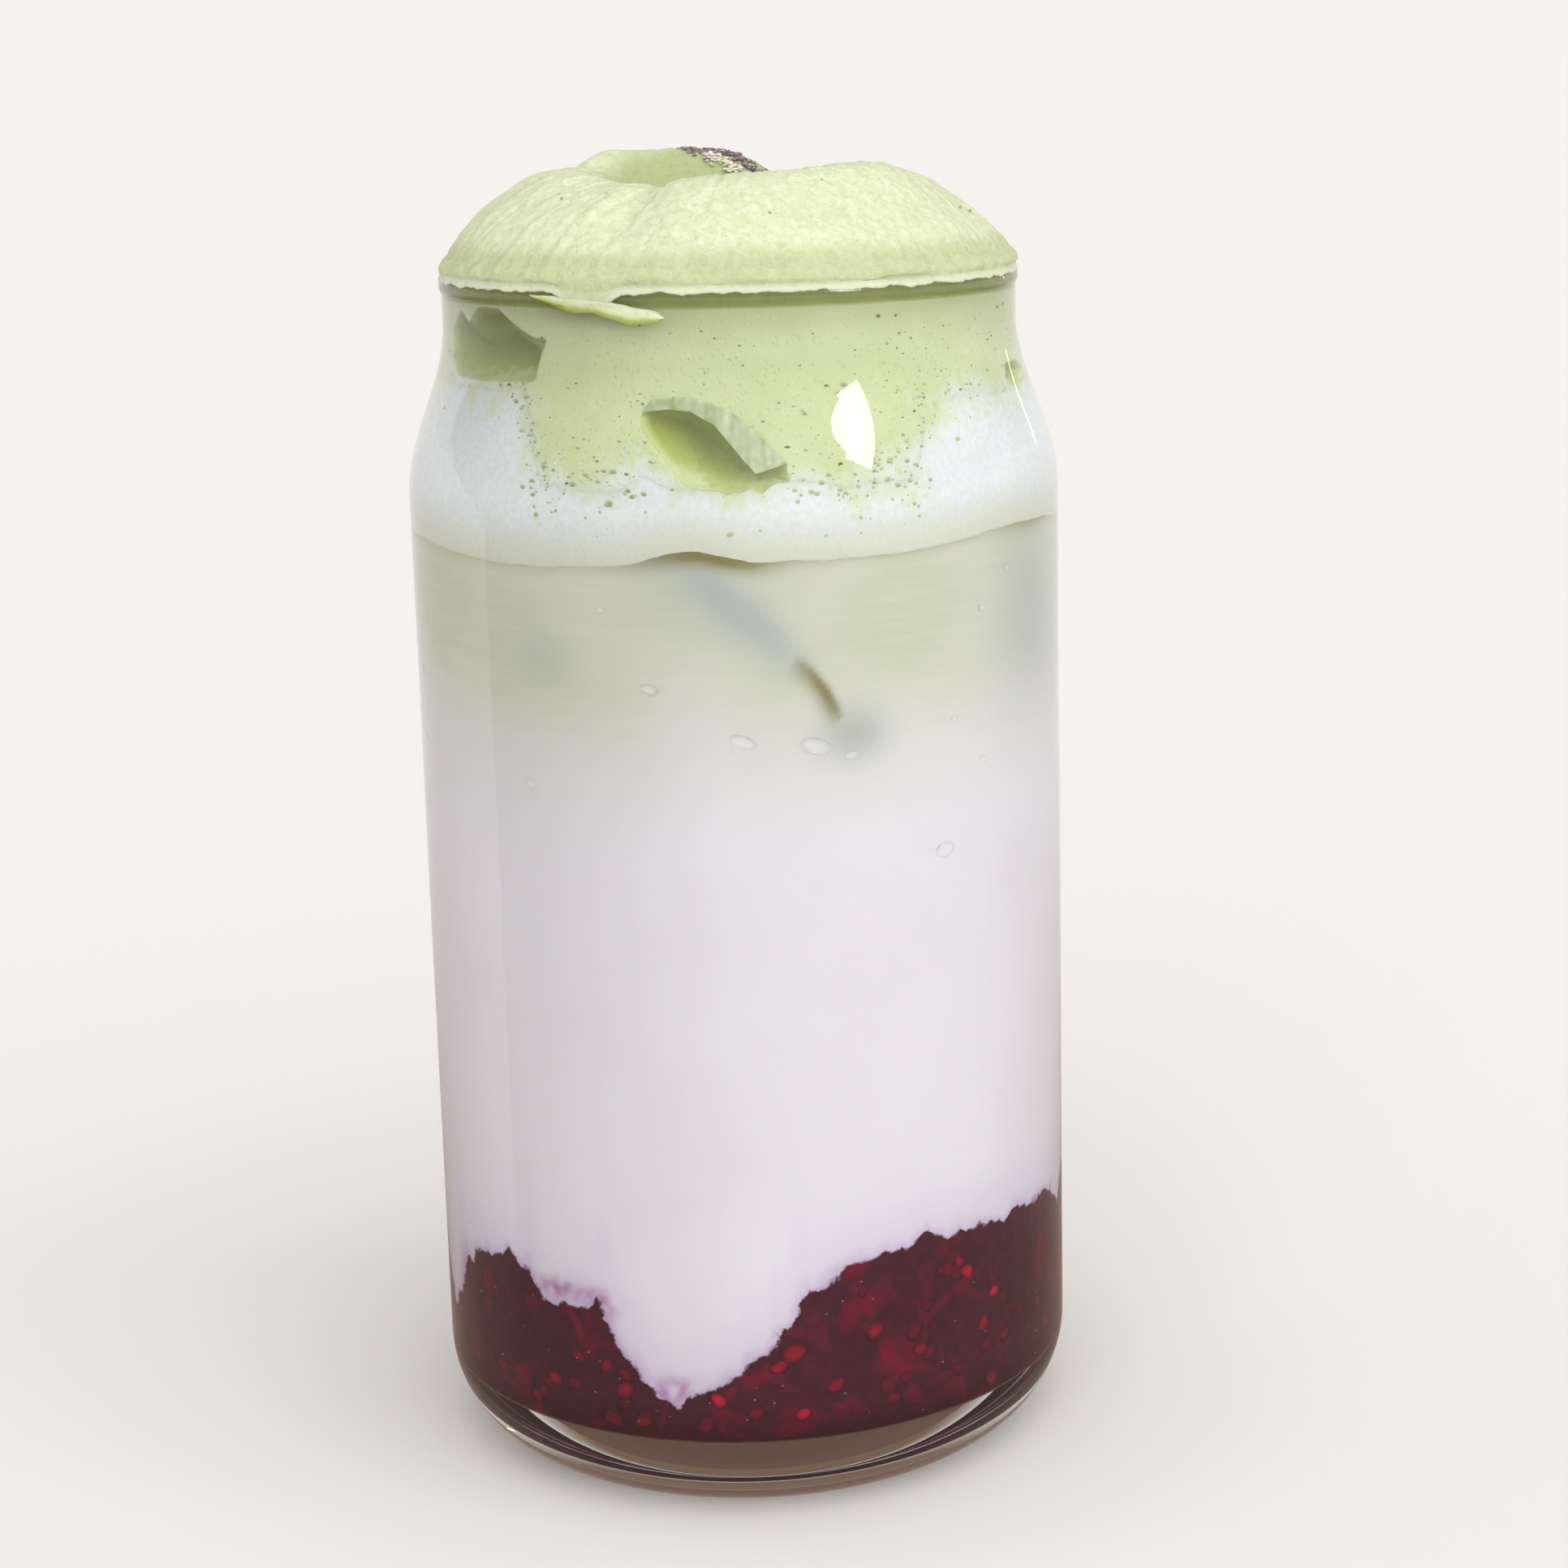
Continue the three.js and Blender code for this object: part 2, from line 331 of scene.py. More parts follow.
def scattered_piece(name, lumps, material, divisions=2, roughness=0.0, sunk=0.0):
    """One piece of many small lumps, each (centre, its 3 half axes, shade). The shade fades towards a lump's
    rim, which is where its third axis has come out of what it is sunk in."""
    ball, ball_faces = unit_ball(divisions)
    fade = smooth((ball[:, 2] - sunk) / (1 - sunk))
    points, faces, shades = [], [], []
    for i, (centre, axes, shade) in enumerate(lumps):
        shape = ball * (1 + roughness * grain(ball, 0.8, i))[:, None] if roughness else ball
        faces.append(ball_faces + len(ball) * i)
        points.append(shape @ np.asarray(axes) + centre)
        shades.append(shade * fade)
    return finish_piece(name, np.concatenate(points), np.concatenate(faces).tolist(), material,
                        {"shade": np.concatenate(shades)})


def wall_axes(azimuth, half_sizes, tilt=0.0):
    """Half axes of a lump on the wall: sideways, upwards and outwards, turned by a tilt in radians."""
    a = math.radians(azimuth)
    side, up = np.array((math.cos(a), math.sin(a), 0)), np.array((0, 0, 1))
    out = np.array((math.sin(a), -math.cos(a), 0))
    turned = (side * math.cos(tilt) + up * math.sin(tilt), up * math.cos(tilt) - side * math.sin(tilt), out)
    return np.stack(turned) * np.array(half_sizes)[:, None]


# Materials

def linear(code):
    """The linear colour of an sRGB hex value."""
    parts = [int(code[i:i + 2], 16) / 255 for i in (0, 2, 4)]
    return [p / 12.92 if p <= 0.04045 else ((p + 0.055) / 1.055) ** 2.4 for p in parts] + [1]


def per_metre(size):
    """Pattern scale for lumps of a size in millimetres."""
    return 1 / (size * MM)


def add(tree, kind, inputs=None, **settings):
    """Adds a node with its settings; each input is linked if it gets a socket and set if it gets a value."""
    made = tree.nodes.new("ShaderNode" + kind)
    for key, value in settings.items():
        setattr(made, key, value)
    for key, value in (inputs or {}).items():
        if isinstance(value, bpy.types.NodeSocket):
            tree.links.new(value, made.inputs[key])
        else:
            made.inputs[key].default_value = value
    return made


def blend(tree, share, colour, other):
    """Colour that goes from one to the other with a share; hex colours and sockets both do."""
    colours = [linear(c) if isinstance(c, str) else c for c in (colour, other)]
    return add(tree, "Mix", {0: share, 6: colours[0], 7: colours[1]}, data_type="RGBA").outputs[2]


def new_material(name):
    material = bpy.data.materials.new(name)
    material.use_nodes = True
    material.node_tree.nodes.clear()
    return material, material.node_tree, add(material.node_tree, "TexCoord").outputs["Object"]


def close_material(tree, inputs):
    shader = add(tree, "BsdfPrincipled", inputs)
    add(tree, "OutputMaterial", {"Surface": shader.outputs[0]})


def attribute(tree, name):
    return add(tree, "Attribute", attribute_name=name).outputs["Fac"]


def pressed_glass():
    # Soda-lime glass pressed in a mould: clear, with slow waves in its skin that bend reflections a little
    material, tree, spot = new_material("pressed soda-lime glass")
    skin = add(tree, "TexNoise", {"Vector": spot, "Scale": per_metre(22), "Detail": 1})
    bump = add(tree, "Bump", {"Height": skin.outputs[0], "Strength": 0.08, "Distance": 0.4 * MM})
    close_material(tree, {
        "Base Color": linear("fafcfb"), "Roughness": 0.01, "IOR": 1.52,
        "Transmission Weight": 1, "Normal": bump.outputs[0],
    })
    return material


def foam_share(tree, spot):
    """How much white foam shows near the line between foam and cream: drifts, lace and round bubbles."""
    over = attribute(tree, "over_foam")
    drift = add(tree, "TexNoise", {"Vector": spot, "Scale": per_metre(4.5), "Detail": 4})
    lace = add(tree, "TexVoronoi", {"Vector": spot, "Scale": per_metre(1.3)})
    swing = add(tree, "MapRange", {0: drift.outputs[0], 1: 0.3, 2: 0.7, 3: -2.2, 4: 2.2})
    holes = add(tree, "MapRange", {0: lace.outputs["Distance"], 1: 0.1, 2: 0.5, 3: 1.1, 4: -0.5})
    moved = add(tree, "Math", {0: over, 1: swing.outputs[0]}, operation="ADD")
    edge = add(tree, "Math", {0: moved.outputs[0], 1: holes.outputs[0]}, operation="ADD")
    share = add(tree, "MapRange", {0: edge.outputs[0], 1: -3.2, 2: 3.2, 3: 1, 4: 0},
                interpolation_type="SMOOTHSTEP")
    return share.outputs[0]


def jam_shares(tree, spot):
    """How much jam shows near its torn edge, and how much it stains the milk beside it."""
    over = attribute(tree, "over_jam")
    lumps = add(tree, "TexNoise", {"Vector": spot, "Scale": per_metre(2.4), "Detail": 4, "Roughness": 0.6})
    swing = add(tree, "MapRange", {0: lumps.outputs[0], 1: 0.3, 2: 0.7, 3: -0.7, 4: 0.7})
    edge = add(tree, "Math", {0: over, 1: swing.outputs[0]}, operation="ADD")
    share = add(tree, "MapRange", {0: edge.outputs[0], 1: -0.2, 2: 0.25, 3: 1, 4: 0},
                interpolation_type="SMOOTHSTEP")
    stain = add(tree, "MapRange", {0: edge.outputs[0], 1: 0.1, 2: 1.4, 3: 0.3, 4: 0})
    return share.outputs[0], stain.outputs[0]


def whipped_cream():
    # Cream whipped with green tea: matt, soft, with pores of burst bubbles; wet and deeper in colour where
    # it lies against the glass, and whitish where it is only a film. Painted shade: olive where it is seen
    # through ice, behind the lip's bead and along the lower edge of the cream that ran over the lip; darker
    # and greener in its folds, its hollows and at the foot of the dome. A painted highlight: a pale line
    # just below the lip's bead
    material, tree, spot = new_material("whipped matcha cream")
    wet, ice, film_and_painted_highlight, painted_fold_shade = (attribute(tree, name) for name in ("wet", "painted_olive_shade", "film_and_painted_highlight", "painted_fold_shade"))
    cloud = add(tree, "TexNoise", {"Vector": spot, "Scale": per_metre(7), "Detail": 4})
    pore = add(tree, "TexVoronoi", {"Vector": spot, "Scale": per_metre(0.9)})
    fine = add(tree, "TexNoise", {"Vector": spot, "Scale": per_metre(0.6), "Detail": 3})
    crinkle = add(tree, "TexNoise", {"Vector": spot, "Scale": per_metre(1), "Detail": 3, "Distortion": 0.8})
    crease = add(tree, "MapRange", {0: crinkle.outputs[0], 1: 0.3, 2: 0.7})
    ridge = blend(tree, crease.outputs[0], "c0c9a2", "d2dabd")
    # Painted shade: darker and greener in the dome's hollows and at its foot
    in_air = blend(tree, painted_fold_shade, ridge, "95a068")
    in_glass = blend(tree, cloud.outputs[0], "c4cea0", "d6ddb9")
    # Painted olive shade where the cream is seen through ice, behind the lip's bead and along the run's edge
    seen = blend(tree, ice, blend(tree, wet, in_air, in_glass), "98a13c")
    white = add(tree, "Math", {0: foam_share(tree, spot), 1: wet}, operation="MULTIPLY")
    # The film is whitish; the same mark also paints a highlight line below the lip's bead
    colour = blend(tree, film_and_painted_highlight, blend(tree, white.outputs[0], seen, "dde1e1"), "c9cfb8")
    pits = add(tree, "MapRange", {0: pore.outputs["Distance"], 1: 0.05, 2: 0.3})
    rough = add(tree, "Math", {0: crinkle.outputs[0], 1: fine.outputs[0]}, operation="ADD")
    relief = add(tree, "Math", {0: pits.outputs[0], 1: rough.outputs[0]}, operation="ADD")
    bump = add(tree, "Bump", {"Height": relief.outputs[0], "Strength": 0.5, "Distance": 0.2 * MM})
    matt = add(tree, "MapRange", {0: wet, 3: 0.5, 4: 1})
    close_material(tree, {
        "Base Color": colour, "Roughness": matt.outputs[0], "IOR": 1.4, "Specular IOR Level": 0.25,
        "Subsurface Weight": 0.35, "Subsurface Radius": (1, 0.95, 0.6), "Subsurface Scale": 1.5 * MM,
        "Normal": bump.outputs[0],
    })
    return material


def milk_foam():
    # Milk beaten to a fine foam: white and matt, with a grain of tiny bubbles, greener towards the cream
    material, tree, spot = new_material("fine milk foam")
    tiny = add(tree, "TexNoise", {"Vector": spot, "Scale": per_metre(0.6), "Detail": 2})
    cloud = add(tree, "TexNoise", {"Vector": spot, "Scale": per_metre(12), "Detail": 2})
    warm = attribute(tree, "over_milk")
    body = blend(tree, cloud.outputs[0], "dae0e6", "e8edf1")
    low = blend(tree, warm, "d3d5c5", body)
    grained = add(tree, "MapRange", {0: tiny.outputs[0], 1: 0.35, 2: 0.65, 3: 0, 4: 0.3})
    grey = blend(tree, grained.outputs[0], low, "c8ccc4")
    colour = blend(tree, foam_share(tree, spot), "ced7a8", grey)
    bump = add(tree, "Bump", {"Height": tiny.outputs[0], "Strength": 0.3, "Distance": 0.1 * MM})
    close_material(tree, {
        "Base Color": colour, "Roughness": 0.9, "Specular IOR Level": 0.05,
        "Subsurface Weight": 0.3, "Subsurface Radius": (1, 1, 0.95), "Subsurface Scale": 1.5 * MM,
        "Normal": bump.outputs[0],
    })
    return material


def iced_milk():
    # Milk with a little tea and melted ice: dense white that lets light in, greenish and patchy near the
    # foam where ice lies behind it, blue-grey where ice lies close behind it, lilac where it draws colour
    # out
    # of the jam. Painted shade: dark olive under the foam's edge and in a sliver where a sunk cube's edge
    # touches the wall, and a painted shadow below that edge, partly dark olive and partly blue-grey
    material, tree, spot = new_material("iced milk")
    names = ("tea", "chill_and_shadow", "milk_painted_shade", "jam_bleed", "jam_smear")
    tea, chill_and_shadow, shade, bleed, smear = (attribute(tree, name) for name in names)
    cloud = add(tree, "TexNoise", {"Vector": spot, "Scale": per_metre(18), "Detail": 3})
    level = add(tree, "Mapping", {"Vector": spot, "Scale": (1, 1, 10)})
    mist = add(tree, "TexNoise", {"Vector": level.outputs[0], "Scale": per_metre(9), "Detail": 3})
    haze = add(tree, "MapRange", {0: mist.outputs[0], 1: 0.45, 2: 0.75, 3: 0, 4: 0.2})
    wisps = add(tree, "Math", {0: haze.outputs[0], 1: tea}, operation="MULTIPLY")
    share, stain = jam_shares(tree, spot)
    body = blend(tree, cloud.outputs[0], "d9d5dc", "e3e0e6")
    green = blend(tree, tea, body, "c4c8b0")
    misty = blend(tree, wisps.outputs[0], green, "e4e6dc")
    # Blue-grey where ice lies behind, and a painted shadow below a sunk cube's edge
    blue = blend(tree, chill_and_shadow, misty, "b0b7b3")
    # Painted dark olive shade under the foam's edge and at a sunk cube's edge
    dark = blend(tree, shade, blue, "827a4c")
    lilac = blend(tree, bleed, dark, "cdbfe0")
    stained = blend(tree, stain, blend(tree, smear, lilac, "a5669a"), "b184b4")
    close_material(tree, {
        "Base Color": blend(tree, share, stained, "46232c"), "Roughness": 0.6, "Specular IOR Level": 0.0,
        "Subsurface Weight": 0.3, "Subsurface Radius": (1, 0.9, 0.8), "Subsurface Scale": 1.5 * MM,
    })
    return material


def cooked_jam():
    # Berries cooked with sugar: a dark wine-red jelly with lighter, redder shreds of fruit in it. Its
    # underside is painted light: pale brown, so that the glass's thick base shows brown there
    material, tree, spot = new_material("cooked berry jam")
    shred = add(tree, "TexNoise", {"Vector": spot, "Scale": per_metre(5), "Detail": 4, "Distortion": 0.6})
    fleck = add(tree, "TexNoise", {"Vector": spot, "Scale": per_metre(1.1), "Detail": 2})
    fruit = add(tree, "MapRange", {0: shred.outputs[0], 1: 0.53, 2: 0.79})
    share, stain = jam_shares(tree, spot)
    body = blend(tree, fleck.outputs[0], "40202a", "542a34")
    # Painted light: the underside is pale brown where the glass's thick base shows it
    red = blend(tree, attribute(tree, "painted_underside_light"), blend(tree, fruit.outputs[0], body, "861c35"), "b39c90")
    pale = blend(tree, stain, "d3c6e0", "b184b4")
    close_material(tree, {
        "Base Color": blend(tree, share, pale, red), "Roughness": 0.5, "Specular IOR Level": 0.0,
    })
    return material


def plain_finish(name, rim, middle, roughness, specular):
    """A material whose colour goes from a lump's rim to its middle, with a fine mottle."""
    material, tree, spot = new_material(name)
    shade = attribute(tree, "shade")
    mottle = add(tree, "TexNoise", {"Vector": spot, "Scale": per_metre(0.7), "Detail": 2})
    swing = add(tree, "MapRange", {0: mottle.outputs[0], 1: 0.2, 2: 0.8, 3: 0.7, 4: 1.3})
    mixed = add(tree, "Math", {0: shade, 1: swing.outputs[0]}, operation="MULTIPLY", use_clamp=True)
    close_material(tree, {
        "Base Color": blend(tree, mixed.outputs[0], rim, middle), "Roughness": roughness,
        "Specular IOR Level": specular,
    })
    return material


def melting_ice():
    # Melting ice: wet and clear, its skin in shallow waves that throw small glints
    material, tree, spot = new_material("clear melting ice")
    waves = add(tree, "TexNoise", {"Vector": spot, "Scale": per_metre(3), "Detail": 2})
    bump = add(tree, "Bump", {"Height": waves.outputs[0], "Strength": 0.5, "Distance": 0.4 * MM})
    close_material(tree, {
        "Base Color": linear("eaeebc"), "Roughness": 0.05, "IOR": 1.31, "Transmission Weight": 1,
        "Normal": bump.outputs[0],
    })
    return material


def condensed_water():
    # Small beads of water on cold glass: clear at the rim, and white in the middle where they gather light
    material, tree, _ = new_material("condensed water")
    clear = add(tree, "MapRange", {0: attribute(tree, "shade"), 3: 1, 4: 0})
    close_material(tree, {
        "Base Color": linear("f4f5f4"), "Roughness": 0.1, "IOR": 1.33,
        "Transmission Weight": clear.outputs[0],
    })
    return material


def paper_sweep():
    # Matt paper: pale, with a faint tooth
    material, tree, spot = new_material("matt paper floor")
    tooth = add(tree, "TexNoise", {"Vector": spot, "Scale": per_metre(1.2), "Detail": 2})
    bump = add(tree, "Bump", {"Height": tooth.outputs[0], "Strength": 0.02, "Distance": 0.1 * MM})
    close_material(tree, {
        "Base Color": linear("e0dfde"), "Roughness": 0.9, "Specular IOR Level": 0.0,
        "Normal": bump.outputs[0],
    })
    return material


# Pieces

def build_glass():
    columns = 240
    heel_height = HEEL_RADIUS * math.sin(math.radians(HEEL_SWEEP))
    corner = (BODY_RADIUS - WALL - FLOOR_CORNER, FLOOR_HEIGHT + FLOOR_CORNER)
    rise = np.linspace(SHOULDER_START, SHOULDER_END, 33)
    body = np.linspace(heel_height + 4, SHOULDER_START - 4, 12)
    share = np.linspace(0, 1, 14)
    punt = np.stack((PUNT_RADIUS * share, PUNT_DEPTH * (1 - share ** 2.5)), -1)
    outside = np.concatenate((body, rise))
    inside = np.concatenate((rise[::-1], body[::-1]))
    profile = np.concatenate((
        punt,
        arc((BODY_RADIUS - HEEL_RADIUS, heel_height), HEEL_RADIUS, -HEEL_SWEEP, 0, 24),
        np.stack((outer_radius(outside), outside), -1),
        arc(LIP_CENTRE, LIP_RADIUS, -LIP_MEETS_WALL, 180 + LIP_MEETS_WALL, 24),
        np.stack((outer_radius(inside) - WALL, inside), -1),
        arc(corner, FLOOR_CORNER, 0, -90, 12),
        np.array(((corner[0] / 2, FLOOR_HEIGHT), (0, FLOOR_HEIGHT))),
    ))
    azimuth = np.arange(columns)[:, None] * 360 / columns
    grid = place(azimuth, profile[:, 0], profile[:, 1])
    piece = wrapped_piece("glass_tumbler", grid, pressed_glass())
    piece.visible_shadow = False
    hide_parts("glass")


def surface_rings(line, level, count):
    """Radii and heights of a meeting surface from the axis to the wall: its waves fade towards the axis."""
    share = np.linspace(0, 1, count)[None, :]
    height = lerp(level, line[:, None], share ** 2)
    return share * fill_radius(height), height


def layer_grid(bottom, top, wall_rows):
    """Radii and heights of a layer between a bottom and a top surface, each (radii, heights)."""
    wall = lerp(bottom[1][:, -1:], top[1][:, -1:], np.linspace(0, 1, wall_rows + 2)[None, 1:-1])
    radius = np.concatenate((bottom[0], fill_radius(wall), top[0][:, ::-1]), 1)
    height = np.concatenate((bottom[1], wall, top[1][:, ::-1]), 1)
    return radius, height


def build_jam():
    line = jam_line(AZIMUTHS)
    corner = (BODY_RADIUS - WALL - FLOOR_CORNER, FLOOR_HEIGHT + FLOOR_CORNER)
    floor = np.concatenate((
        np.array(((0, FLOOR_HEIGHT - BITE), (corner[0] / 2, FLOOR_HEIGHT - BITE))),
        arc(corner, FLOOR_CORNER + BITE, -90, 0, 8),
    ))
    bottom = np.broadcast_to(floor.T[:, None, :], (2, len(AZIMUTHS), len(floor)))
    radius, height = layer_grid(bottom, surface_rings(line, JAM_LEVEL, 10), 46)
    grid = place(AZIMUTHS[:, None], radius, height)
    # Painted light on the underside, seen through the glass's thick base
    marks = {"over_jam": above(line, height), "painted_underside_light": smooth((FLOOR_HEIGHT + 0.6 - height) / 0.7)}
    piece = wrapped_piece("jam_layer", grid, cooked_jam(), marks)
    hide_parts("berry_jam")


def patches(spots, azimuth, height):
    total = np.zeros(np.broadcast(azimuth, height).shape)
    for centre, level, reach, depth, strength in spots:
        away = (turn_between(azimuth, centre) / reach) ** 2 + ((height - level) / depth) ** 2
        total += strength * np.exp(-away)
    return np.clip(total, 0, 1)


def streak(path, azimuth, height, width_above, width_below):
    """1 on a path over the wall, fading on each side of it and towards its ends."""
    shape = np.broadcast(azimuth, height).shape
    nearest, side, along = np.full(shape, np.inf), np.zeros(shape), np.zeros(shape)
    for i, ((a0, h0), (a1, h1)) in enumerate(zip(path, path[1:])):
        run = np.array(((a1 - a0) * DEGREE, h1 - h0))
        u, v = (azimuth - a0) * DEGREE, height - h0
        t = np.clip((u * run[0] + v * run[1]) / (run @ run), 0, 1)
        away = np.hypot(u - t * run[0], v - t * run[1])
        closer = away < nearest
        side = np.where(closer, run[0] * v - run[1] * u, side)
        along = np.where(closer, (i + t) / (len(path) - 1), along)
        nearest = np.minimum(nearest, away)
    width = np.where(side > 0, width_above, width_below)
    return np.exp(-(nearest / width) ** 2) * np.sqrt(np.clip(np.sin(math.pi * along), 0, 1))


def build_milk():
    low, high = jam_line(AZIMUTHS), foam_line(AZIMUTHS)
    radius, height = layer_grid(surface_rings(low, JAM_LEVEL, 8), surface_rings(high, FOAM_LEVEL, 5), 130)
    azimuth = np.broadcast_to(AZIMUTHS[:, None], height.shape)
    signed = (azimuth + 180) % 360 - 180
    grid = place(azimuth, radius, height)
    under_foam = high[:, None] - height
    over_jam = above(low, height)
    tea = smooth(1.2 - under_foam / 28) * (0.75 + 0.2 * grain(grid, 9, 1))
    tea += patches(TEA_PATCHES, azimuth, height)
    # Blue-grey where ice lies behind the milk, with a painted shadow below the cube's edge
    chill_and_shadow = patches(CHILL_AND_SHADOW_PATCHES, azimuth, height) + 0.9 * streak(ICE_STREAK, signed, height, 1.8, 2.8)
    # Painted shade: a sliver at the cube's edge, shadows below it and under the foam's edge
    shade = streak(ICE_SLIVER, signed, height, 0.5, 1.3)
    shade += patches(PAINTED_SHADOW_PATCHES, azimuth, height)
    shade += 1.3 * smooth(1 - under_foam / 2.6) * patches(FOAM_SHADE, azimuth, height)
    shade += 0.25 * smooth(1 - under_foam / 1.1)
    smear = patches(SMEARS, azimuth, height) * np.clip(0.6 + grain(grid, 1.2, 12), 0, 1)
    bleed = 0.3 * smooth(1 - over_jam / 9) + 0.2 * smooth(1 - over_jam / 2.5)
    piece = wrapped_piece("milk_layer", grid, iced_milk(), {
        "tea": np.clip(tea, 0, 1), "chill_and_shadow": np.clip(chill_and_shadow, 0, 1), "over_jam": over_jam,
        "milk_painted_shade": np.clip(shade, 0, 1), "jam_bleed": np.clip(bleed, 0, 1), "jam_smear": smear,
    })
    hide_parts("milk")


def build_foam():
    low, high = foam_line(AZIMUTHS), cream_line(AZIMUTHS)
    radius, height = layer_grid(surface_rings(low, FOAM_LEVEL, 5), surface_rings(high, CREAM_LEVEL, 8), 60)
    piece = wrapped_piece("foam_layer", place(AZIMUTHS[:, None], radius, height), milk_foam(), {
        "over_foam": above(high, height), "over_milk": smooth((height - low[:, None]) / 6),
    })
    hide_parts("milk_foam")


def window_depth(azimuth, height):
    """Distance inside the nearest ice outline, and how far up in its window a point is."""
    degree = math.pi * (NECK_RADIUS - WALL) / 180
    shape = np.broadcast(azimuth, height).shape
    inside, rise = np.zeros(shape), np.zeros(shape)
    for outline in ICE_WINDOWS.values():
        corners = np.array(outline, dtype=float)
        edge, within = np.full(shape, np.inf), np.zeros(shape, dtype=bool)
        for (a0, h0), (a1, h1) in zip(corners, np.roll(corners, -1, 0)):
            run = np.array(((a1 - a0) * degree, h1 - h0))
            u, v = (azimuth - a0) * degree, height - h0
            t = np.clip((u * run[0] + v * run[1]) / (run @ run), 0, 1)
            edge = np.minimum(edge, np.hypot(u - t * run[0], v - t * run[1]))
            if h0 != h1:
                within ^= ((h0 > height) != (h1 > height)) & (azimuth < (a1 - a0) * v / (h1 - h0) + a0)
        low, high = corners[:, 1].min(), corners[:, 1].max()
        inside = np.where(within, edge, inside)
        rise = np.where(within, (height - low) / (high - low), rise)
    return inside, rise


def swirl_radius(azimuth):
    along = (SWIRL_START - azimuth) / SWIRL_TURN
    return lerp(SWIRL_RADIUS, SWIRL_END_RADIUS, smooth((along - SWIRL_WINDS_IN) / (1 - SWIRL_WINDS_IN)))


def swirl_lift(x, y):
    lift = np.zeros_like(x)
    for azimuth in SWIRL_START - SWIRL_TURN * np.linspace(0, 1, 161):
        centre = place(azimuth, swirl_radius(azimuth), 0)
        rise = SWIRL_RISE + wave_sum(SWIRL_WAVES, np.array(azimuth))
        away = np.hypot(x - centre[0], y - centre[1])
        lift = np.maximum(lift, rise * np.exp(-(away / SWIRL_WIDTH) ** 2.6))
    return lift


def hollow(share):
    """How far a point of the dome lies in the hollow that the swirl winds round."""
    return smooth((HOLLOW_RADIUS - share * DOME_RADIUS) / HOLLOW_SLOPE)


def dome_height(azimuth, share):
    points = place(azimuth, share * DOME_RADIUS, 0)
    fullness = (1 - np.clip(share, 0, 1) ** DOME_FULLNESS) ** DOME_SOFTNESS
    folds = wave_sum(DOME_WAVES, azimuth + 0 * share) * smooth(3 * share - 1) * smooth(6 * (1 - share))
    swirl = swirl_lift(points[..., 0], points[..., 1]) - HOLLOW_DEPTH * hollow(share)
    return GLASS_HEIGHT + DOME_FOOT + DOME_RISE * fullness + folds + swirl


def cream_edge():
    """Radii and heights of the cream from inside the lip, over it, to the foot of the dome; also how much of
    a film it is there."""
    spill = wave_sum(SPILL_WAVE, AZIMUTHS)[:, None]
    rest, spilt = np.array(EDGE_AT_REST), np.array(EDGE_SPILT)
    knots = np.arange(len(rest))
    t = np.linspace(0, len(rest) - 1, 22)
    torn = ripple(AZIMUTHS, 11, 14, 1, 8)[:, None] * smooth(1 - t / FILM_KNOTS)
    size = lerp(np.interp(t, knots, rest[:, 0]), np.interp(t, knots, spilt[:, 0]), spill)
    size += ripple(AZIMUTHS, 13, 30, 4, 0.3)[:, None] * smooth((t - FILM_KNOTS) / 2)
    angle = lerp(np.interp(t, knots, rest[:, 1]) + torn, np.interp(t, knots, spilt[:, 1]), spill)
    over = lerp(180 + LIP_MEETS_WALL, angle[:, :1], np.linspace(0, 1, LIP_ROWS + 1)[None, :-1])
    angle = np.radians(np.concatenate((over, angle), 1))
    size = np.concatenate((np.full(over.shape, LIP_RADIUS - BITE), size), 1)
    film_and_painted_highlight = np.concatenate((np.zeros(over.shape), smooth(FILM_KNOTS + 0.8 - t) * (1 - spill)), 1)
    return LIP_CENTRE[0] + size * np.cos(angle), LIP_CENTRE[1] + size * np.sin(angle), film_and_painted_highlight


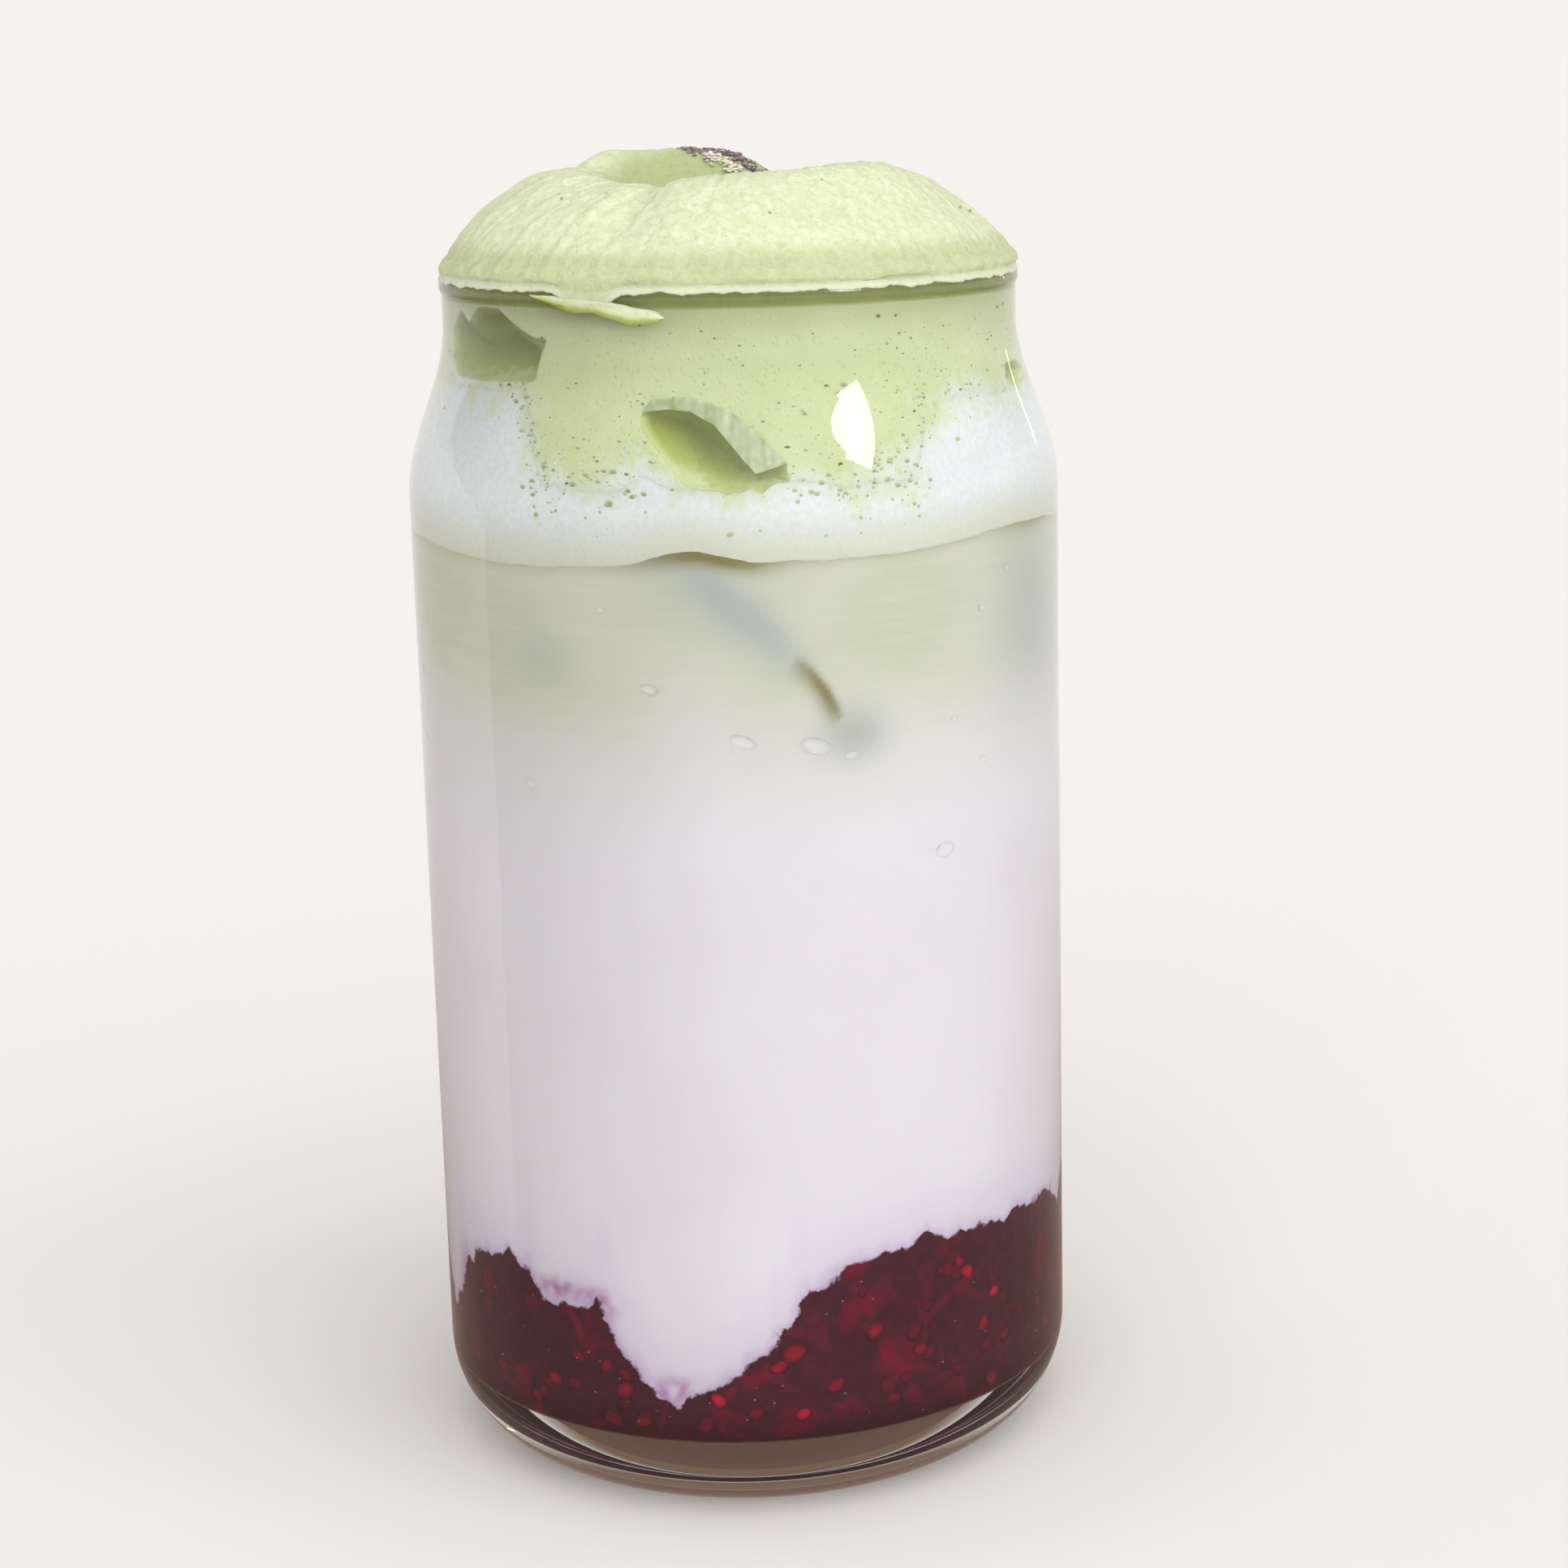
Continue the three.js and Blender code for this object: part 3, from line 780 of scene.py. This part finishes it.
def build_cream(material):
    azimuth = AZIMUTHS[:, None]
    signed = (azimuth + 180) % 360 - 180
    low = cream_line(AZIMUTHS)
    bottom = surface_rings(low, CREAM_LEVEL, 6)
    neck_top = LIP_CENTRE[1] - LIP_RADIUS * math.sin(math.radians(LIP_MEETS_WALL))
    wall = lerp(low[:, None], neck_top, np.linspace(0, 1, 74)[None, 1:-1])
    inside, rise = window_depth(signed, wall)
    pocket = POCKET_EDGE * smooth(inside / 0.5) + POCKET_DEPTH * smooth(inside / 5)
    edge_radius, edge_height, edge_film = cream_edge()
    share = np.broadcast_to(np.linspace(0.985, 0, DOME_ROWS) ** 0.9, (len(AZIMUTHS), DOME_ROWS))
    radius = np.concatenate((bottom[0], fill_radius(wall) - pocket, edge_radius, share * DOME_RADIUS), 1)
    height = np.concatenate((bottom[1], wall, edge_height, dome_height(azimuth, share)), 1)
    grid = place(azimuth, radius, height)

    # Soft lumps and the marks of the spatula, pushed out along the surface
    across = np.roll(grid, -1, 0) - np.roll(grid, 1, 0)
    normal = np.cross(across, np.gradient(grid, axis=1))
    normal /= np.maximum(np.linalg.norm(normal, axis=2, keepdims=True), 1e-9)
    first = radius.shape[1] - DOME_ROWS - FOOT_ROWS
    relief = np.zeros(radius.shape)
    relief[:, first:] = 0.25 * grain(grid[:, first:], 4.5, 2) + 0.12 * grain(grid[:, first:], 1.5, 3)
    strokes = np.stack((signed / 2.4 + share * 8, 3 * share, 0 * share), -1)
    relief[:, -DOME_ROWS:] += 0.2 * grain(strokes, 1, 4) * smooth(3 * share - 0.8)
    relief[:, -1] = 0
    grid = grid + normal * relief[:, :, None]

    start, stop = bottom[0].shape[1], bottom[0].shape[1] + wall.shape[1]
    lip = stop + edge_film.shape[1]
    marks = {name: np.zeros(radius.shape) for name in ("wet", "over_foam", "painted_olive_shade", "film_and_painted_highlight", "painted_fold_shade")}
    marks["wet"][:, :stop + WET_LIP_ROWS] = 1
    marks["over_foam"][:, stop:] = FAR_FROM_FOAM
    marks["over_foam"][:, :stop] = above(low, height[:, :stop])
    # Painted olive shade on the cream behind each ice outline, darker towards the top of the window
    marks["painted_olive_shade"][:, start:stop] = smooth(inside / 0.7) * (0.45 + 0.5 * smooth(rise * 1.2))
    # Painted olive shade on the cream behind the lip's bead, which shows through the bead as a dark band
    marks["painted_olive_shade"][:, stop:stop + WET_LIP_ROWS] = 0.6
    # Painted highlight: a pale line on the cream half a millimetre below the top of the neck
    marks["film_and_painted_highlight"][:, start:stop] = 0.6 * smooth(1 - np.abs(wall - neck_top + 0.5) / 0.35)
    marks["film_and_painted_highlight"][:, stop:lip] = edge_film * np.clip(0.8 + 0.7 * grain(grid[:, stop:lip], 1.1, 10), 0, 1)
    # Painted shade: darker and greener in the hollow that the swirl winds round, and near the dome's foot
    marks["painted_fold_shade"][:, lip:] = 0.7 * smooth(1.7 * hollow(share - 0.05)) + 0.4 * smooth((share - 0.93) / 0.05)
    # Painted shade under the dome's foot, where no film lies on the lip
    marks["painted_fold_shade"][:, stop + LIP_ROWS:lip] = 0.4 * (1 - edge_film[:, LIP_ROWS:])
    piece = wrapped_piece("cream_layer", grid, material, marks)
    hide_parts("matcha_cream")


def build_cream_run(material):
    """Cream that has run over the lip and lies below it on the outside of the glass."""
    upper = (
        (-40, 136.9), (-28, 136.8), (-24, 136.5), (-21, 136.1), (-16.5, 135.7), (-13.5, 135.3), (-12, 134.6),
    )
    lower = (
        (-40, 136.9), (-35.5, 136), (-31.5, 135.2), (-26.5, 135.1), (-22.5, 134.5), (-18, 133.9),
        (-14, 134.1), (-12, 134.6),
    )
    grid, along, across = strip_grid(upper, lower, lip_radius, 0.35, 0.1, 120, 12)
    grid = grid + 0.2 * grain(grid, 1.2, 6)[..., None] * np.sin(math.pi * along)[..., None] * (0, 0, 1)
    marks = {"wet": 0.8 + 0 * along, "over_foam": FAR_FROM_FOAM + 0 * along, "painted_fold_shade": 0 * along}
    marks["film_and_painted_highlight"] = 0.6 * smooth((0.4 - across) / 0.3)
    # Painted olive shade along the run's lower edge and towards its left end
    olive = 0.8 * smooth((across - 0.45) / 0.4) + 0.5 * smooth((0.45 - along) / 0.3)
    marks["painted_olive_shade"] = np.clip(olive, 0, 1)
    wrapped_piece("cream_run", grid, material, marks)


def build_ice():
    """Ice behind the wall: fills each window in the cream and reaches just into the glass."""
    ice = melting_ice()
    for name, outline in ICE_WINDOWS.items():
        corners = np.array(outline + outline[:1], dtype=float)
        steps = np.linspace(0, len(outline), 97)[:-1]
        rim = np.stack([np.interp(steps, np.arange(len(corners)), corners[:, k]) for k in (0, 1)], -1)
        # Rows from the middle of the face that touches the wall, over its edge, to the middle of the back
        rows = [(s, 0) for s in np.linspace(0, 1.02, 9)] + [(1.03, 1), (1.03, 2.5)]
        rows += [(s, ICE_DEPTH - 4 * s ** 3) for s in np.linspace(0.95, 0, 8)]
        grid = []
        for spread, depth in rows:
            spot = lerp(rim.mean(0), rim, spread)
            grid.append(place(spot[:, 0], fill_radius(spot[:, 1]) - depth, spot[:, 1]))
        piece = wrapped_piece("ice_" + name, np.stack(grid, 1), ice)
        piece.visible_shadow = False
    # The cube's upper edge is frosted and ridged
    upper = ((-17, 124.6), (-15.3, 125.9), (-8, 126.2), (-0.5, 124.7), (5, 121.9), (9.2, 119.2))
    lower = ((-17, 124.6), (-12, 124.9), (-8, 124.7), (-3.5, 123.3), (0, 120.8), (3.5, 118.3), (9.2, 119.2))
    grid, along, across = strip_grid(upper, lower, fill_radius, 0.08, 0.8, 120, 10)
    ridges = grain(np.stack((40 * along, 2.5 * across, 0 * along), -1), 1.6, 8) + 0.5 * grain(grid, 0.7, 9)
    # Frost: fine white crystals on the ice, in ridges
    frost = plain_finish("frosted ice", "a9b489", "d6e0c8", 0.7, 0.1)
    white = np.clip(0.25 + 0.35 * along + 0.6 * ridges, 0, 1)
    wrapped_piece("ice_frost", grid, frost, {"shade": white})


def build_seeds():
    # Seeds and shreds of flesh seen at the wall, as (azimuth, height, half-length, shade)
    seen = (
        (41, 25.4, 1.2, 0.8), (48, 21.7, 1, 0.9), (-7.6, 14.6, 1.1, 0.9), (7.4, 12.6, 1, 0.9),
        (13.5, 15.6, 1.2, 0.35), (3.2, 18.4, 1.1, 0.5), (21, 21.4, 1.2, 0.5), (30, 18, 1.1, 0.4),
        (45, 18.4, 1.1, 0.5), (-25, 15, 1.4, 0.4), (-40, 14.6, 1.2, 0.5), (-34.5, 18, 1, 0.35),
        (-28.5, 17.6, 1, 0.35), (6, 20, 1.6, 0.45), (39, 27, 0.9, 0.5),
    )
    rng = np.random.default_rng(21)
    spots = list(seen)
    for azimuth in rng.uniform(-180, 180, SEED_COUNT):
        top = jam_line(azimuth) - 2.4
        if top > 11.5:
            shade = rng.uniform(0.05, 0.25) if abs(azimuth) < 80 else rng.uniform(0.2, 0.9)
            spots.append((azimuth, rng.uniform(11, top), rng.uniform(0.8, 1.3), shade))
    lumps = []
    for azimuth, height, size, shade in spots:
        axes = wall_axes(azimuth, (1.05 * size, 0.8 * size, 0.12), rng.uniform(-1.2, 1.2))
        lumps.append((place(azimuth, fill_radius(height) - 0.05, height), axes, shade))
    # Berry pips in their flesh: wine red, glowing where the light reaches them
    finish = plain_finish("berry seeds in flesh", "45212a", "c4203f", 0.5, 0.0)
    scattered_piece("jam_seeds", lumps, finish, 3, 0.25, 0.45)


def build_air_in_jam():
    rng = np.random.default_rng(25)
    lumps = []
    for azimuth in rng.uniform(-180, 180, JAM_BUBBLE_COUNT):
        top = jam_line(azimuth) - 1.5
        height = rng.uniform(10, max(top, 11))
        size = rng.uniform(0.08, 0.2)
        axes = wall_axes(azimuth, (size, size, 0.1))
        lumps.append((place(azimuth, fill_radius(height), height), axes, rng.uniform(0.2, 0.9)))
    # Air bubbles in the jam: pale points of light
    finish = plain_finish("air bubbles in jam", "5c3038", "b79aa0", 0.4, 0.1)
    scattered_piece("jam_bubbles", lumps, finish, 1)


def build_bubbles():
    # Larger bubbles seen at the wall, as (azimuth, height, radius)
    seen = (
        (-44.6, 125, 0.5), (-42, 125.6, 0.5), (-39.3, 123, 0.35), (-39.5, 121.7, 0.4), (-38, 121.1, 0.3),
        (-36.7, 120, 0.35), (-35, 118.6, 0.5), (-36.8, 115.8, 0.4), (-28.6, 120.7, 0.35), (-26.4, 118, 0.45),
        (-28.8, 117, 0.55), (-24, 117.4, 0.4), (-23, 118.5, 0.4), (-21.3, 118.4, 0.5), (-21.8, 115.2, 0.65),
        (-17.6, 116, 0.45), (-15.6, 116.3, 0.4), (28, 118.8, 0.5), (31.4, 118.5, 0.4), (27, 116.8, 0.55),
        (28.8, 116.2, 0.45), (35.6, 116.4, 0.35), (14.8, 117, 0.45), (24.3, 116.7, 0.4), (32, 120.5, 0.35),
        (21.3, 126.8, 0.55), (20, 126, 0.4), (8.5, 125.3, 0.3), (11.1, 124.9, 0.3), (12.7, 124.4, 0.3),
    )
    rng = np.random.default_rng(31)
    spots = list(seen)
    while len(spots) < CREAM_BUBBLE_COUNT:
        azimuth = rng.choice((rng.uniform(-180, 180), rng.normal(-36, 9), rng.normal(28, 12)))
        height = cream_line(azimuth) + rng.normal(1, 2.6)
        if 111 < height < 131 and window_depth(azimuth, height)[0] == 0:
            spots.append((azimuth, height, 0.1 + 0.35 * rng.random() ** 3))
    lumps = []
    for azimuth, height, size in spots:
        axes = wall_axes(azimuth, (size, size * rng.uniform(0.8, 1), 0.06), rng.uniform(-1, 1))
        lumps.append((place(azimuth, fill_radius(height) - 0.03, height), axes, rng.uniform(0.4, 0.9)))
    # Air bubbles pressed against the glass: each shows the cream behind it, with painted shade making
    # its middle darker and greener
    finish = plain_finish("air bubbles in cream", "cfd6b6", "8f9a6e", 0.8, 0.0)
    scattered_piece("cream_bubbles", lumps, finish, 2, 0.2, 0.5)


def build_specks():
    rng = np.random.default_rng(41)
    lumps = []
    while len(lumps) < SPECK_COUNT:
        azimuth = rng.uniform(-180, 180)
        height = rng.uniform(cream_line(azimuth) + 0.5, 134.5)
        if window_depth(azimuth, height)[0] > 0:
            continue
        size = 0.06 + 0.22 * rng.random() ** 4
        axes = wall_axes(azimuth, (size * rng.uniform(1, 1.6), size, 0.05))
        lumps.append((place(azimuth, fill_radius(height) - 0.02, height), axes, rng.uniform(0.4, 1)))
    azimuths = rng.uniform(-180, 180, DOME_SPECK_COUNT)
    shares = np.sqrt(rng.uniform(0.05, 0.9, DOME_SPECK_COUNT))
    for azimuth, share in zip(azimuths, shares):
        size = 0.08 + 0.14 * rng.random() ** 4
        height = dome_height(azimuth, share)
        lumps.append((place(azimuth, share * DOME_RADIUS, height), np.eye(3) * size, rng.uniform(0.3, 0.8)))
    # Grains of tea powder that did not dissolve
    finish = plain_finish("tea powder grains", "aab383", "56613a", 0.8, 0.05)
    scattered_piece("tea_specks", lumps, finish, 1)


def build_drops():
    # Drops seen on the glass, as (azimuth, height, half-width)
    seen = (
        (-15, 95.9, 1.1), (0, 90.2, 1.5), (12, 89.4, 1.7), (18, 88.1, 0.9), (35.7, 76, 1.3),
        (45, 102.2, 0.7), (45, 85.2, 0.7), (38, 90.5, 0.6), (52, 105.9, 0.6), (-23, 104.3, 0.6),
        (-38, 84.6, 0.8), (37.5, 41, 0.5),
    )
    rng = np.random.default_rng(51)
    spots = list(seen)
    for azimuth in rng.uniform(60, 300, DROP_COUNT):
        spots.append((azimuth, rng.uniform(80, 106), rng.uniform(0.3, 0.8)))
    lumps = []
    for azimuth, height, size in spots:
        axes = wall_axes(azimuth, (size, size * rng.uniform(0.5, 0.75), size * 0.06), rng.uniform(-0.4, 0.2))
        lumps.append((place(azimuth, outer_radius(height) - 0.02, height), axes, 0.2))
    piece = scattered_piece("water_drops", lumps, condensed_water(), 3, 0.15, 0.4)
    piece.visible_shadow = False


def build_crumbs():
    rng = np.random.default_rng(61)
    # On the highest turn of the swirl, as (name, count, azimuths, mean and spread of the distance from its
    # crest, colours of rim and middle, largest half-length)
    lots = (
        ("berry_crumbs", 240, (-214, -160), (0.3, 0.9), "776870", "9d9096", 0.36),
        ("sugar_crumbs", 60, (-190, -168), (-1.6, 0.5), "cfcab9", "e3ddd0", 0.4),
    )
    for name, count, (first, last), (middle, spread), rim, colour, largest in lots:
        lumps = []
        for azimuth in rng.uniform(first, last, count):
            radius = swirl_radius(azimuth) + rng.normal(middle, spread)
            height = dome_height(azimuth, radius / DOME_RADIUS)
            turn = Matrix.Rotation(rng.uniform(0, 2 * math.pi), 3, "Z")
            turn = turn @ Matrix.Rotation(rng.normal(0, 0.3), 3, "X")
            axes = np.array(turn) * largest * rng.uniform(0.35, 1)
            axes *= np.array((1.3, 0.8, 0.5))[:, None]
            lumps.append((place(azimuth, radius, height + 0.1), axes, rng.uniform(0.3, 1)))
        # Dried fruit and its sugar, crumbled: dull, dry and angular
        finish = plain_finish(name.replace("_", " "), rim, colour, 0.8, 0.1)
        scattered_piece(name, lumps, finish, 2, 0.45)


# Stage, light and camera

PHOTO_SIDE = 1932
SENSOR = 36
FOCAL_PIXELS = 3790
CENTRE_PIXEL = (1120.5, 934.5)  # where the lens axis meets the picture, which is a crop of a wider one
CAMERA_PLACE = Vector((0, -356.8, 160.1))
CAMERA_YAW, CAMERA_PITCH, CAMERA_ROLL = 3.17, 12.71, 0.95
FLOOR_SIDE = 200000
GLINT_DISTANCE = 600


def build_camera():
    lens = bpy.data.cameras.new("camera")
    lens.sensor_width = SENSOR
    lens.lens = FOCAL_PIXELS * SENSOR / PHOTO_SIDE
    lens.shift_x = (PHOTO_SIDE / 2 - CENTRE_PIXEL[0]) / PHOTO_SIDE
    lens.shift_y = (CENTRE_PIXEL[1] - PHOTO_SIDE / 2) / PHOTO_SIDE
    lens.clip_start, lens.clip_end = 0.01, 1000
    camera = bpy.data.objects.new("camera", lens)
    turn = Matrix.Rotation(-math.radians(CAMERA_YAW), 4, "Z")
    turn = turn @ Matrix.Rotation(math.radians(90 - CAMERA_PITCH), 4, "X")
    turn = turn @ Matrix.Rotation(-math.radians(CAMERA_ROLL), 4, "Z")
    camera.matrix_world = Matrix.Translation(CAMERA_PLACE * MM) @ turn
    bpy.context.scene.collection.objects.link(camera)
    bpy.context.scene.camera = camera


def build_floor():
    half = FLOOR_SIDE / 2 * MM
    corners = [(-half, -half, 0), (half, -half, 0), (half, half, 0), (-half, half, 0)]
    mesh = bpy.data.meshes.new("floor")
    mesh.from_pydata(corners, [], [(0, 1, 2, 3)])
    mesh.materials.append(paper_sweep())
    floor = bpy.data.objects.new("floor", mesh)
    bpy.context.scene.collection.objects.link(floor)
    # The glass does not mirror the floor, but the darker room below the horizon
    floor.visible_glossy = False
    floor.visible_transmission = False


def glint_lamp(name, azimuth, height, size, radiance, colour, roll):
    """Lamp placed where the glass mirrors it to the camera from one spot on its shoulder; it is turned in
    its own plane by a roll in degrees."""
    step = 0.1
    slope = float(outer_radius(height - step) - outer_radius(height + step)) / (2 * step)
    spot = Vector(place(azimuth, float(outer_radius(height)), height))
    normal = Vector(place(azimuth, 1, slope)).normalized()
    view = (CAMERA_PLACE - spot).normalized()
    towards = 2 * normal.dot(view) * normal - view
    lamp = bpy.data.lights.new(name, "AREA")
    lamp.shape = "RECTANGLE"
    lamp.size, lamp.size_y = size[0] * MM, size[1] * MM
    lamp.energy = math.pi * radiance * lamp.size * lamp.size_y
    lamp.color = linear(colour)[:3]
    pane = bpy.data.objects.new(name, lamp)
    pane.location = (spot + GLINT_DISTANCE * towards) * MM
    turn = towards.to_track_quat("Z", "Y").to_matrix() @ Matrix.Rotation(math.radians(roll), 3, "Z")
    pane.rotation_euler = turn.to_euler()
    pane.visible_diffuse = False
    bpy.context.scene.collection.objects.link(pane)


def build_light():
    scene = bpy.context.scene
    scene.view_settings.view_transform = "Standard"
    world = bpy.data.worlds.new("studio")
    scene.world = world
    world.use_nodes = True
    tree = world.node_tree
    tree.nodes.clear()
    # A pale room, brown below the horizon, with a dim wall behind. Where the glass mirrors the room above
    # the horizon, that is dim all round.
    facing = add(tree, "SeparateXYZ", {0: add(tree, "TexCoord").outputs["Generated"]})
    upper = add(tree, "MapRange", {0: facing.outputs["Z"], 1: -0.37, 2: -0.2})
    behind = add(tree, "MapRange", {0: facing.outputs["Y"], 1: 0.5, 2: 0.85})
    raised = add(tree, "MapRange", {0: facing.outputs["Z"], 1: 0.08, 2: 0.25})
    below_top = add(tree, "MapRange", {0: facing.outputs["Z"], 1: 0.5, 2: 0.75, 3: 1, 4: 0})
    wall = add(tree, "Math", {0: behind.outputs[0], 1: below_top.outputs[0]}, operation="MULTIPLY")
    ray = add(tree, "LightPath").outputs
    mirrors = {0: ray["Is Glossy Ray"], 1: ray["Is Reflection Ray"]}
    mirrored = add(tree, "Math", mirrors, operation="MULTIPLY")
    dim = add(tree, "Math", {0: wall.outputs[0], 1: mirrored.outputs[0]}, operation="MAXIMUM")
    dim = add(tree, "Math", {0: dim.outputs[0], 1: raised.outputs[0]}, operation="MULTIPLY")
    room = blend(tree, upper.outputs[0], "a08d80", "f7f3f0")
    sky = add(tree, "Background", {"Color": blend(tree, dim.outputs[0], room, "75604f"), "Strength": 1})
    add(tree, "OutputWorld", {"Surface": sky.outputs[0]})

    sun = bpy.data.lights.new("key", "SUN")
    sun.energy = 2.2
    sun.angle = math.radians(100)
    key = bpy.data.objects.new("key", sun)
    key.rotation_euler = (math.radians(60), 0, math.radians(22))
    key.visible_glossy = False
    scene.collection.objects.link(key)

    glint_lamp("window", 22, 121.5, (100, 120), 10, "ffffff", -35)
    glint_lamp("window_side", 20, 122.5, (100, 70), 10, "ffffff", -45)
    glint_lamp("door", 67, 126.5, (7, 60), 7, "ffeeb0", 0)


build_camera()
build_floor()
build_light()
cream = whipped_cream()
build_glass()
build_jam()
build_milk()
build_foam()
build_cream(cream)
build_cream_run(cream)
build_ice()
build_seeds()
build_air_in_jam()
build_bubbles()
build_specks()
build_drops()
build_crumbs()
